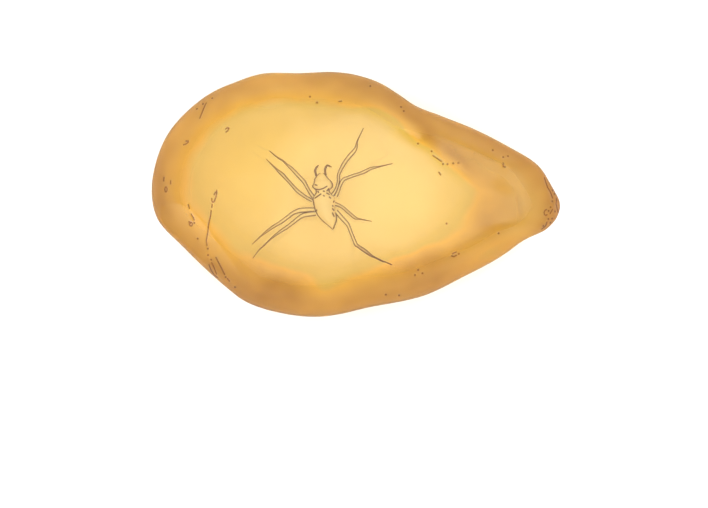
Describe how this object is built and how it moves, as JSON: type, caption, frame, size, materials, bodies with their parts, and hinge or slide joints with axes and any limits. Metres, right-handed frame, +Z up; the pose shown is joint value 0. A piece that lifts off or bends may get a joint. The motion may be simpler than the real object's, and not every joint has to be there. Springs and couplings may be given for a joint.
{
  "type": "spider in amber",
  "caption": "Loose water-worn drop of clear amber with a blunt chipped tip and a small flat to rest on, with a spider sealed in a pocket inside.",
  "frame": {"origin": "on the rest flat's plane, under the middle of the drop's length and width", "axes": "+X along the drop towards its blunt tip, +Y across it, +Z up from the rest flat through the spider to the crown"},
  "size_m": [0.05, 0.03, 0.0154],
  "materials": {
    "amber": "clear honey-gold fossil resin, water-worn to a soft gloss, darker orange where it is looked through sideways, with stained pits and cracks",
    "chitin": "golden tan above, dark brown on its sides, creases and leg tips"
  },
  "bodies": {
    "root": {"amber_upper": "amber", "amber_lower": "amber", "spider": "chitin"}
  },
  "joints": []
}
